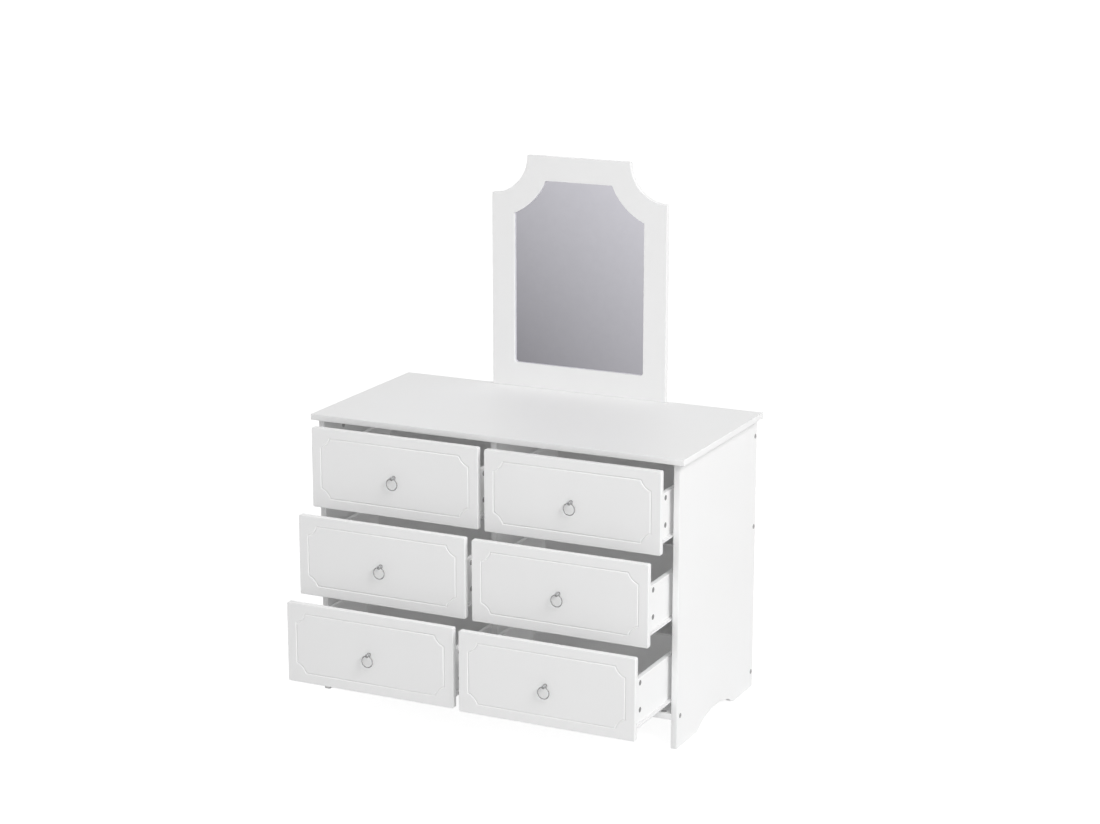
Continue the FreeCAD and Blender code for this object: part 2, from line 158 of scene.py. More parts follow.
def rounded_corner(inset: np.ndarray, radius: np.ndarray, steps: int) -> np.ndarray:
    """Paths round a convex corner, from its right edge to its upper edge.

    The circle's centre lies inset + radius inside both edges, and the angle runs from
    level to upright.

    Args:
        inset: Distance of each path inside the corner's edges.
        radius: Radius of each path's rounding.
        steps: Points on each path.

    Returns:
        Points measured from the corner, as paths × steps × 2.
    """
    turn = np.linspace(0, QUARTER, steps)
    centre = -(inset + radius)[:, None]
    return np.stack([centre + radius[:, None] * np.cos(turn),
                     centre + radius[:, None] * np.sin(turn)], axis=-1)


def scooped_corner(inset: np.ndarray, cove: float, steps: int, beyond: float = 0.0) -> np.ndarray:
    """Paths round a corner that is scooped out by a circle.

    The circle's centre is the corner itself, or lies beyond it by the same distance
    both ways, which makes the scoop shallower.  A path that lies further in has a
    larger circle, which meets the edges' parallels where its sine is their distance
    from the centre.

    Args:
        inset: Distance of each path inside the outline.
        cove: How much of each edge the scoop takes away in the outline.
        steps: Points on each path.
        beyond: Distance of the centre past each edge.

    Returns:
        Points measured from the corner, from the right edge to the upper edge.
    """
    radius = math.hypot(cove + beyond, beyond) + inset[:, None]
    spare = np.arcsin((inset[:, None] + beyond) / radius)
    turn = 3 * QUARTER - spare - np.linspace(0, 1, steps) * (QUARTER - 2 * spare)
    return radius[..., None] * np.stack([np.cos(turn), np.sin(turn)], axis=-1) + beyond


def round_a_rectangle(upper: np.ndarray, lower: np.ndarray, half: Pair) -> np.ndarray:
    """Closed loops from one corner's paths, mirrored into the four corners.

    Args:
        upper: Paths of the upper right corner, measured from that corner.
        lower: Paths of the lower right corner, drawn as if it were the upper right one.
        half: Half the rectangle's width and height.

    Returns:
        Loops round the rectangle's centre, anticlockwise, as loops × points × 2.
    """
    high = upper + np.array(half)
    low = lower + np.array(half)
    return np.concatenate([high, high[:, ::-1] * (-1, 1),
                           low * (-1, -1), low[:, ::-1] * (1, -1)], axis=1)


def mitres(outline: np.ndarray) -> np.ndarray:
    """Step at each corner that moves both edges beside it inwards by one.

    It is the sum of the two edges' inward normals over one plus their product.

    Args:
        outline: Anticlockwise corners, as points × 2.

    Returns:
        One step for each corner.
    """
    after = np.roll(outline, -1, axis=0) - outline
    after /= np.linalg.norm(after, axis=1, keepdims=True)
    before = np.roll(after, 1, axis=0)
    first = np.stack([-before[:, 1], before[:, 0]], axis=-1)
    second = np.stack([-after[:, 1], after[:, 0]], axis=-1)
    return (first + second) / (1 + np.sum(first * second, axis=1, keepdims=True))


def quarter_roll(radius: float, steps: int) -> tuple[np.ndarray, np.ndarray]:
    """Inset and depth along a rolled edge, from the face to the edge: a quarter circle."""
    turn = np.linspace(0, QUARTER, steps)
    return radius * (1 - np.sin(turn)), radius * (1 - np.cos(turn))


def rolled_slab(thickness: float, roll: float, steps: int = 5) -> tuple[np.ndarray, np.ndarray]:
    """Inset and depth from one face of a board to the other, round its rolled edges.

    The first and last entries lie on the flat faces, a little inside the roll, so that
    the flats shade flat.

    Args:
        thickness: Thickness of the board.
        roll: Radius of the roll along both faces.
        steps: Points on each roll.

    Returns:
        The insets and the depths, of equal length.
    """
    inset, depth = quarter_roll(roll, steps)
    flat = roll * PAST_ROLL
    return (np.concatenate([[flat], inset, inset[::-1], [flat]]),
            np.concatenate([[0], depth, thickness - depth[::-1], [thickness]]))


def lifted(loops: np.ndarray, depth: np.ndarray, plane: Plane, origin: Vector) -> np.ndarray:
    """Flat loops placed in space, each at its own depth, as loops × points × 3."""
    layers = np.broadcast_to(depth[:, None, None], (*loops.shape[:2], 1))
    return np.concatenate([loops, layers], axis=-1)[..., list(plane.value)] + np.array(origin)


def faced(loops: np.ndarray, facing: Facing, spot: Iterable[float]) -> np.ndarray:
    """Turn loops so that their third coordinate points the way that a head or axis faces.

    Args:
        loops: Points as loops × points × 3.
        facing: Which way they face.
        spot: Where their own origin goes.

    Returns:
        The same loops in place.
    """
    axis, sense = facing.value
    turned = np.empty_like(loops)
    turned[..., axis] = sense * loops[..., 2]
    turned[..., (axis + 1) % 3] = loops[..., 0]
    turned[..., (axis + 2) % 3] = loops[..., 1]
    return turned + np.array(spot)


def lathe(radius: np.ndarray, along: np.ndarray, sides: int) -> np.ndarray:
    """Circles round the third axis, which follow a turned profile.

    Each point lies at its circle's radius times the cosine and the sine of its turn.

    Args:
        radius: Radius of each circle.
        along: Height of each circle.
        sides: Points on each circle.

    Returns:
        The circles as loops × sides × 3.
    """
    turn = np.linspace(0, 2 * math.pi, sides, endpoint=False)
    return np.stack([radius[:, None] * np.cos(turn), radius[:, None] * np.sin(turn),
                     np.broadcast_to(along[:, None], (len(along), sides))], axis=-1)


class Skin:
    """Closed surfaces that are gathered into one mesh."""

    def __init__(self, *surfaces: np.ndarray, ends: Ends = Ends.CAPPED) -> None:
        """Start with surfaces that are all closed in the same way.

        Args:
            surfaces: Points of each as loops × points × 3.
            ends: How their stacks are closed.
        """
        self.points: list[np.ndarray] = []
        self.faces: list[list[int]] = []
        self.count = 0
        for surface in surfaces:
            self.add(surface, ends)

    def add(self, loops: np.ndarray, ends: Ends) -> None:
        """Add one closed surface, with its faces turned outwards.

        Four-sided faces join each point to the next on its loop and to the same two on
        the next loop.  The volume inside, summed over the faces as pyramids from the
        middle, tells which way they face.

        Args:
            loops: Points as loops × points × 3.
            ends: How the stack is closed.
        """
        rows, columns = loops.shape[:2]
        index = np.arange(rows * columns).reshape(rows, columns)
        points = loops.reshape(-1, 3)
        ring = np.vstack([index, index[:1]]) if ends is Ends.JOINED else index
        ring = np.hstack([ring, ring[:, :1]])
        quads = np.stack([ring[:-1, :-1], ring[:-1, 1:], ring[1:, 1:], ring[1:, :-1]], axis=-1)
        quads = quads.reshape(-1, 4)
        corners = points[quads] - points.mean(axis=0)
        a, b, c, d = np.moveaxis(corners, 1, 0)
        volume = np.sum(a * (np.cross(b, c) + np.cross(c, d)))
        faces = quads.tolist()
        if ends is Ends.CAPPED:
            for cap in (index[0, ::-1], index[-1]):
                fan = points[cap] - points.mean(axis=0)
                volume += np.sum(fan[0] * np.cross(fan[1:-1], fan[2:]))
                faces.append(cap.tolist())
        sense = 1 if volume > 0 else -1
        self.faces += [[corner + self.count for corner in face[::sense]] for face in faces]
        self.points.append(points)
        self.count += len(points)

    def build(self, name: str) -> bpy.types.Object:
        """Make the mesh and its object, smooth but for its sharp corners.

        Args:
            name: Name of both.

        Returns:
            The object, at the origin.
        """
        mesh = bpy.data.meshes.new(name)
        mesh.from_pydata(np.concatenate(self.points).tolist(), [], self.faces)
        mesh.shade_smooth()
        mesh.set_sharp_from_angle(angle=SMOOTH_UP_TO)
        piece = bpy.data.objects.new(name, mesh)
        bpy.context.scene.collection.objects.link(piece)
        return piece


@dataclass(frozen=True)
class Board:
    """A rectangular board or sheet with rolled edges and slightly rounded corners."""

    plane: Plane
    roll: float = 0.7 * MM
    corner: float = 1.2 * MM
    corner_steps: int = 4

    def loops(self, low: Vector, high: Vector) -> np.ndarray:
        """Surface of the board that fills a box.

        The board's outline is moved in and carried down along its rolled edge profile.

        Args:
            low: The box's lowest corner.
            high: Its highest corner.

        Returns:
            Points as loops × points × 3.
        """
        axes = list(self.plane.value)
        size = np.zeros(3)
        size[axes] = np.array(high - low)
        inset, depth = rolled_slab(size[2], self.roll)
        corner = rounded_corner(inset, self.corner - inset, self.corner_steps)
        flat = round_a_rectangle(corner, corner, (size[0] / 2, size[1] / 2))
        middle = np.zeros(3)
        middle[:2] = size[:2] / 2
        return lifted(flat, depth, self.plane, low + Vector(middle[axes]))


@dataclass(frozen=True)
class ScrewHead:
    """Head of a screw, bolt or cam, standing on a surface.

    Widths of the dome, of a plain head's flat and of the recess are shares of the
    radius; the recess's heights are shares of the height.
    """

    radius: float
    height: float
    drive: Drive
    recess: float = 0.5
    sides: int = 24
    dome: tuple[float, ...] = (1.0, 0.96, 0.88, 0.75, 0.6)
    dome_fall: float = 0.97
    plain_top: float = 0.3
    recess_widths: tuple[float, ...] = (1.0, 0.92, 0.8)
    recess_heights: tuple[float, ...] = (1.0, 0.9, 0.1)
    cross_waist: float = 0.34

    def recess_outline(self) -> np.ndarray:
        """Outline of the recess.

        A hexagon's radius is its half width over the cosine of the angle from the
        nearest flat; a cross's swells four times round with the sixth power of the
        cosine.

        Returns:
            Radius at each of the head's sides.
        """
        turn = np.linspace(0, 2 * math.pi, self.sides, endpoint=False)
        size = self.radius * self.recess
        if self.drive is Drive.HEXAGON:
            sixth = math.pi / 3
            return size * math.cos(sixth / 2) / np.cos((turn + sixth / 2) % sixth - sixth / 2)
        swell = np.cos(2 * turn) ** 6
        return size * (self.cross_waist + (1 - self.cross_waist) * swell)

    def loops(self) -> np.ndarray:
        """Domed head with its recess.

        The dome stands as high as the root of one less the radius's fourth power.

        Returns:
            Points as loops × sides × 3, standing along the third axis.
        """
        dome = np.array(self.dome)
        lift = np.append(0, np.sqrt(1 - (dome * self.dome_fall) ** 4)) * self.height
        head = lathe(np.append(1.0, dome) * self.radius, lift, self.sides)
        if self.drive is Drive.NONE:
            top = np.array([self.plain_top * self.radius]), np.array([self.height])
            return np.concatenate([head, lathe(*top, self.sides)])
        heights = np.array(self.recess_heights) * self.height
        edge = lathe(np.array(self.recess_widths), heights, self.sides)
        edge[..., :2] *= self.recess_outline()[None, :, None]
        return np.concatenate([head, edge])

    def at(self, facing: Facing, spots: Iterable[Iterable[float]]) -> list[np.ndarray]:
        """Surfaces of the same head at several spots, all facing one way."""
        return [faced(self.loops(), facing, spot) for spot in spots]


# Finishes

class Ease(Enum):
    """How a value runs from one end of a range to the other."""

    EVEN = "LINEAR"
    SMOOTH = "SMOOTHSTEP"


class Tree:
    """A node tree that is added to step by step."""

    def __init__(self, tree: bpy.types.NodeTree) -> None:
        """Keep the tree's nodes and links."""
        self.nodes = tree.nodes
        self.links = tree.links

    def node(self, kind: str, **settings: object) -> bpy.types.Node:
        """Add a node.

        Args:
            kind: Its type.
            settings: Its own settings by name.

        Returns:
            The node.
        """
        made = self.nodes.new(kind)
        for key, value in settings.items():
            setattr(made, key, value)
        return made

    def feed(self, node: bpy.types.Node, **inputs: object) -> bpy.types.Node:
        """Set a node's inputs: a socket is linked, a value is written.

        Args:
            node: The node.
            inputs: Values by the input's name, or by n and its number.

        Returns:
            The node.
        """
        for key, value in inputs.items():
            numbered = key[0] == "n" and key[1:].isdigit()
            socket = node.inputs[int(key[1:]) if numbered else key]
            if isinstance(value, Socket):
                self.links.new(value, socket)
            else:
                socket.default_value = value
        return node

    def ranged(self, value: Socket, low: float, high: float, start: float = 0.3,
               end: float = 0.7, ease: Ease = Ease.SMOOTH) -> Socket:
        """Spread a value from between start and end to between low and high.

        Args:
            value: What is spread.
            low: Result at the start and before it.
            high: Result at the end and past it.
            start: Value where the range starts.
            end: Value where the range ends.
            ease: How the result runs from one to the other.

        Returns:
            The result.
        """
        spread = self.node("ShaderNodeMapRange", interpolation_type=ease.value)
        self.feed(spread, n0=value, n1=start, n2=end, n3=low, n4=high)
        return spread.outputs["Result"]

    def mixed(self, share: Socket, first: object, second: object) -> Socket:
        """Two colours mixed by a share from 0 to 1."""
        mix = self.node("ShaderNodeMix", data_type="RGBA")
        return self.feed(mix, n0=share, n6=first, n7=second).outputs[2]

    def math(self, operation: str, first: object, second: object) -> Socket:
        """One sum, product or comparison."""
        node = self.node("ShaderNodeMath", operation=operation)
        return self.feed(node, n0=first, n1=second).outputs[0]

    def dot(self, direction: Socket, vector: Triple) -> Socket:
        """How far a direction runs along a vector."""
        product = self.node("ShaderNodeVectorMath", operation="DOT_PRODUCT")
        return self.feed(product, n0=direction, n1=vector).outputs["Value"]

    def blended(self, share: Socket, first: bpy.types.Node,
                second: bpy.types.Node) -> bpy.types.Node:
        """Two shaders mixed by a share from 0 to 1."""
        mix = self.node("ShaderNodeMixShader")
        return self.feed(mix, n0=share, n1=first.outputs[0], n2=second.outputs[0])


class Recipe(Tree):
    """Node tree of one finish, round its Principled shader."""

    def __init__(self, name: str, **constants: float | tuple) -> None:
        """Start a material and set the values that are the same all over it.

        Args:
            name: Name of the material.
            constants: Values by the socket's name, with _ for each space.
        """
        self.material = bpy.data.materials.new(name)
        self.material.use_nodes = True
        super().__init__(self.material.node_tree)
        self.shader = self.nodes["Principled BSDF"]
        for socket, value in constants.items():
            self.shader.inputs[socket.replace("_", " ")].default_value = value

    def place(self, stretch: Triple = (1, 1, 1)) -> Socket:
        """The piece's own coordinates.

        Args:
            stretch: Scale along each axis, for a pattern that runs one way.

        Returns:
            The coordinates.
        """
        mapping = self.node("ShaderNodeMapping")
        own = self.node("ShaderNodeTexCoord").outputs["Object"]
        return self.feed(mapping, Vector=own, Scale=stretch).outputs["Vector"]

    def noise(self, scale: float, detail: float = 2.0, stretch: Triple = (1, 1, 1)) -> Socket:
        """Cloudy noise.

        Args:
            scale: Cells to the metre.
            detail: How many finer layers lie over them.
            stretch: Scale along each axis.

        Returns:
            A value from 0 to 1.
        """
        noise = self.node("ShaderNodeTexNoise")
        self.feed(noise, Vector=self.place(stretch), Scale=scale, Detail=detail)
        return noise.outputs["Fac"]

    def tinted(self, pattern: Socket, first: object, second: object) -> Socket:
        """Two colours that run into each other where a pattern is near its middle."""
        return self.mixed(self.ranged(pattern, 0.0, 1.0), first, second)

    def relief(self, height: Socket, depth: float, under: Socket | None = None) -> Socket:
        """Bump of a real depth.

        Args:
            height: The pattern.
            depth: How deep it is, in metres.
            under: Another bump that this one lies over.

        Returns:
            The bumped normal.
        """
        bump = self.node("ShaderNodeBump")
        self.feed(bump, Height=height, Distance=depth, Strength=1.0)
        if under is not None:
            self.links.new(under, bump.inputs["Normal"])
        return bump.outputs["Normal"]

    def finish(self, **inputs: Socket) -> bpy.types.Material:
        """Link the shader's last inputs.

        Args:
            inputs: Sockets by the input's name, with _ for each space.

        Returns:
            The finished material.
        """
        for key, value in inputs.items():
            self.links.new(value, self.shader.inputs[key.replace("_", " ")])
        return self.material


def grey(value: float, warm: float = 0.0) -> Colour:
    """A neutral colour of one tone, a little warmer or cooler."""
    return (value * (1 + warm), value, value * (1 - warm), 1.0)


class Grain(Enum):
    """Cells to the metre in the pressed grain of a board, along x, y and z."""

    ALONG_X = (12.0, 220.0, 220.0)
    ALONG_Z = (220.0, 220.0, 12.0)


@dataclass(frozen=True)
class BoardFoil:
    """White melamine foil on particle board: satin, faintly pressed with grain."""

    grain: Grain
    colour: float = 0.90
    contrast: float = 0.006
    warmth: float = 0.002
    roughness: Pair = (0.36, 0.46)
    cloud_scale: float = 2.4
    pebble_scale: float = 1400.0
    pebble_depth: float = 0.004 * MM
    grain_depth: float = 0.012 * MM

    def make(self) -> bpy.types.Material:
        """Soft clouds in colour, drawn-out grain and a fine pebble in relief and gloss.

        Returns:
            The material.
        """
        recipe = Recipe(f"white_foil_{self.grain.name.lower()}", IOR=1.48)
        fibres = recipe.noise(1.0, detail=4.0, stretch=self.grain.value)
        colour = recipe.tinted(recipe.noise(self.cloud_scale, detail=3.0),
                               grey(self.colour - self.contrast, self.warmth),
                               grey(self.colour + self.contrast, -self.warmth))
        fine = recipe.relief(recipe.noise(self.pebble_scale, detail=1.0), self.pebble_depth)
        return recipe.finish(Base_Color=colour, Roughness=recipe.ranged(fibres, *self.roughness),
                             Normal=recipe.relief(fibres, self.grain_depth, fine))


@dataclass(frozen=True)
class PressedFoil:
    """White foil drawn over a milled fibreboard front: smoother, with an orange peel."""

    colour: float = 0.90
    contrast: float = 0.005
    roughness: Pair = (0.32, 0.38)
    cloud_scale: float = 4.0
    peel_scale: float = 420.0
    peel_depth: float = 0.006 * MM

    def make(self) -> bpy.types.Material:
        """Soft clouds in colour and a low peel in relief, with a little change of gloss.

        Returns:
            The material.
        """
        recipe = Recipe("pressed_white_foil", IOR=1.5)
        clouds = recipe.noise(self.cloud_scale, detail=3.0)
        colour = recipe.tinted(clouds, grey(self.colour - self.contrast),
                               grey(self.colour + self.contrast))
        return recipe.finish(Base_Color=colour, Roughness=recipe.ranged(clouds, *self.roughness),
                             Normal=recipe.relief(recipe.noise(self.peel_scale), self.peel_depth))


@dataclass(frozen=True)
class CoatedMetal:
    """Pressed steel or cast zinc, coated or plated and rubbed a little along its faces."""

    name: str
    colour: float
    metallic: float = 0.0
    roughness: Pair = (0.38, 0.52)
    rubbed: float = 0.94
    warmth: float = 0.004
    rub_stretch: Triple = (90.0, 6.0, 90.0)
    peel_scale: float = 900.0
    peel_depth: float = 0.01 * MM

    def make(self) -> bpy.types.Material:
        """Fine peel in relief; long faint rubs in gloss and colour.

        Returns:
            The material.
        """
        recipe = Recipe(self.name, Metallic=self.metallic)
        rubs = recipe.noise(1.0, detail=3.0, stretch=self.rub_stretch)
        colour = recipe.tinted(rubs, grey(self.colour * self.rubbed, self.warmth),
                               grey(self.colour))
        return recipe.finish(Base_Color=colour, Roughness=recipe.ranged(rubs, *self.roughness),
                             Normal=recipe.relief(recipe.noise(self.peel_scale), self.peel_depth))


@dataclass(frozen=True)
class ChromePlate:
    """Bright plating on the knobs and rings."""

    colour: float = 0.44
    wiped: float = 1.05
    roughness: Pair = (0.08, 0.18)
    mark_scale: float = 300.0

    def make(self) -> bpy.types.Material:
        """Nearly clean gloss with faint wipe marks.

        Returns:
            The material.
        """
        recipe = Recipe("chrome_plate", Metallic=1.0)
        marks = recipe.noise(self.mark_scale, detail=3.0)
        colour = recipe.tinted(marks, grey(self.colour, -0.01),
                               grey(self.colour * self.wiped, -0.004))
        return recipe.finish(Base_Color=colour, Roughness=recipe.ranged(marks, *self.roughness))


@dataclass(frozen=True)
class RollerNylon:
    """Moulded nylon of the rollers: milky, with a dull running surface."""

    colour: float = 0.74
    milky: float = 1.04
    roughness: Pair = (0.3, 0.5)
    cloud_scale: float = 260.0

    def make(self) -> bpy.types.Material:
        """Cloudy milky colour and uneven gloss.

        Returns:
            The material.
        """
        recipe = Recipe("roller_nylon", IOR=1.53, Subsurface_Weight=0.15,
                        Subsurface_Scale=2 * MM)
        clouds = recipe.noise(self.cloud_scale, detail=3.0)
        colour = recipe.tinted(clouds, grey(self.colour, 0.03),
                               grey(self.colour * self.milky, 0.015))
        return recipe.finish(Base_Color=colour, Roughness=recipe.ranged(clouds, *self.roughness))


@dataclass(frozen=True)
class Hardboard:
    """Thin hardboard: painted white, or white with bare pressed fibre behind."""

    name: str
    bare_behind: float | None = None
    white: float = 0.88
    contrast: float = 0.01
    roughness: Pair = (0.48, 0.56)
    bare_roughness: float = 0.25
    fleck_scale: float = 700.0
    fleck_depth: float = 0.02 * MM
    cloud_scale: float = 9.0
    cloud_share: float = 0.35
    dark_fibre: Colour = (0.27, 0.165, 0.085, 1)
    pale_fibre: Colour = (0.42, 0.285, 0.165, 1)
    mean_fibre: Colour = (0.36, 0.235, 0.135, 1)

    def make(self) -> bpy.types.Material:
        """Cloudy paint over fibre flecks, which lie bare where Y is past a limit.

        Returns:
            The material.
        """
        recipe = Recipe(self.name)
        flecks = recipe.noise(self.fleck_scale, detail=5.0)
        clouds = recipe.noise(self.cloud_scale, detail=4.0)
        colour = recipe.tinted(clouds, grey(self.white - self.contrast),
                               grey(self.white + self.contrast))
        roughness = recipe.ranged(clouds, *self.roughness)
        if self.bare_behind is not None:
            apart = recipe.node("ShaderNodeSeparateXYZ")
            recipe.links.new(recipe.place(), apart.inputs[0])
            bare = recipe.math("GREATER_THAN", apart.outputs["Y"], self.bare_behind)
            fibre = recipe.tinted(flecks, self.dark_fibre, self.pale_fibre)
            cloudy = recipe.ranged(clouds, 0.0, self.cloud_share)
            colour = recipe.mixed(bare, colour, recipe.mixed(cloudy, fibre, self.mean_fibre))
            rougher = recipe.math("MULTIPLY", bare, self.bare_roughness)
            roughness = recipe.math("ADD", rougher, roughness)
        return recipe.finish(Base_Color=colour, Roughness=roughness,
                             Normal=recipe.relief(flecks, self.fleck_depth))


@dataclass(frozen=True)
class SilveredGlass:
    """Mirror glass: silvered behind, cool grey, very slightly wavy."""

    colour: Colour = (0.699, 0.690, 0.743, 1.0)
    dusty: float = 0.985
    roughness: Pair = (0.012, 0.03)
    dust_scale: float = 45.0
    wave_scale: float = 3.0
    wave_depth: float = 0.02 * MM

    def make(self) -> bpy.types.Material:
        """Polished metal with faint dust and a long wave in the plate.

        Returns:
            The material.
        """
        recipe = Recipe("silvered_glass", Metallic=1.0)
        dust = recipe.noise(self.dust_scale, detail=4.0)
        dusty = tuple(tone * self.dusty for tone in self.colour[:3]) + (1,)
        wave = recipe.relief(recipe.noise(self.wave_scale, detail=1.0), self.wave_depth)
        return recipe.finish(Base_Color=recipe.tinted(dust, self.colour, dusty),
                             Roughness=recipe.ranged(dust, *self.roughness), Normal=wave)


class Finishes:
    """All finishes of the dresser."""

    def __init__(self) -> None:
        """Make each of them once."""
        self.level_board = BoardFoil(Grain.ALONG_X).make()
        self.upright_board = BoardFoil(Grain.ALONG_Z).make()
        self.front = PressedFoil().make()
        self.runner = CoatedMetal("white_runner_coat", colour=0.86).make()
        self.strap = CoatedMetal("strap_enamel", colour=0.83).make()
        self.screw = CoatedMetal("screw_zinc", colour=0.42, metallic=0.9,
                                 roughness=(0.32, 0.48)).make()
        # Cams: cast zinc darkened far below its own tone. It is partly real zinc and partly
        # painted shade, standing for the deep bore holes round the cams, which are not modelled.
        self.cam = CoatedMetal("cast_zinc_with_painted_bore_shade", colour=0.26, metallic=0.4,
                               roughness=(0.42, 0.6)).make()
        self.chrome = ChromePlate().make()
        self.nylon = RollerNylon().make()
        self.bottom = Hardboard("painted_hardboard").make()
        self.mirror = SilveredGlass().make()


class Dresser:
    """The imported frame, with what every sub-assembly needs to put a piece on it."""

    def __init__(self, frame: dict, finishes: Finishes) -> None:
        """Keep the frame and the finishes."""
        self.nodes: dict[str, bpy.types.Object] = frame["nodes"]
        self.finishes = finishes

    def dress(self, node: str, material: bpy.types.Material) -> None:
        """Give a node that keeps its own solid its material.

        Args:
            node: Name of the node.
            material: Its finish.
        """
        piece = self.nodes[node]
        if not piece.material_slots:
            piece.data.materials.append(material)
        for slot in piece.material_slots:
            slot.material = material
        log.info("%s keeps its solid", node)

    def put(self, skin: Skin, name: str, body: str, material: bpy.types.Material, slot: str,
            *stands_for: str) -> None:
        """Make a piece, give it its material and set it on its body.

        Args:
            skin: Its surfaces.
            name: Name of the piece.
            body: Body that it rides on.
            material: Its finish.
            slot: The record's material slot; not used.
            stands_for: Nodes that it is shown in place of.
        """
        piece = skin.build(name)
        piece.data.materials.append(material)
        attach(piece, body)
        if stands_for:
            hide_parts(*stands_for)
        log.info("%s on %s: %d faces", name, body, len(skin.faces))

    def fasten(self, heads: list[np.ndarray], name: str, body: str = "cabinet") -> None:
        """Put a group of zinc-plated heads on a body."""
        self.put(Skin(*heads), name, body, self.finishes.screw, "strap_steel")


# Cabinet

@dataclass(frozen=True)
class SidePanel:
    """Side panel with a scalloped lower edge: foot, ogee, shallow arch, ogee, foot."""

    foot: float = 115 * MM
    ogee_run: float = 65 * MM
    ogee_rise: float = 22 * MM
    crest: float = 32 * MM
    roll: float = 0.7 * MM
    ogee_steps: int = 17
    arch_steps: int = 25

    def lower_edge(self, depth: float) -> np.ndarray:
        """Points along the lower edge from front to rear.

        Each ogee is two equal circle arcs that meet half-way; the arch between the two
        is one circle arc through the crest.

        Args:
            depth: Depth of the panel.

        Returns:
            Distance from the front and height, as points × 2.
        """
        run, rise = self.ogee_run / 2, self.ogee_rise / 2
        radius = (run ** 2 + rise ** 2) / (2 * rise)
        along = np.linspace(0, self.ogee_run, self.ogee_steps)
        nearest = np.minimum(along, self.ogee_run - along)
        bend = radius - np.sqrt(radius ** 2 - nearest ** 2)
        ogee = np.where(along <= run, bend, self.ogee_rise - bend)
        start = self.foot + self.ogee_run
        half = depth / 2 - start
        sagitta = self.crest - self.ogee_rise
        arch_radius = (half ** 2 + sagitta ** 2) / (2 * sagitta)
        across = np.linspace(-half, half, self.arch_steps)[1:-1]
        arch = self.crest - arch_radius + np.sqrt(arch_radius ** 2 - across ** 2)
        ogee_points = np.stack([self.foot + along, ogee], axis=-1)
        arch_points = np.stack([depth / 2 + across, arch], axis=-1)
        rear = ogee_points[::-1] * (-1, 1) + (depth, 0)
        return np.concatenate([[[0, 0]], ogee_points, arch_points, rear, [[depth, 0]]])

    def loops(self, low: Vector, high: Vector) -> np.ndarray:
        """Surface of the panel that fills a box, its outline moved in along its rolls.

        Args:
            low: The box's lowest corner.
            high: Its highest corner.

        Returns:
            Points as loops × points × 3.
        """
        size = high - low
        top = [[size.y, size.z], [0, size.z]]
        outline = np.concatenate([self.lower_edge(size.y), top])
        inset, depth = rolled_slab(size.x, self.roll)
        flat = outline + mitres(outline) * inset[:, None, None]
        return lifted(flat, depth, Plane.SIDEWAYS, low)


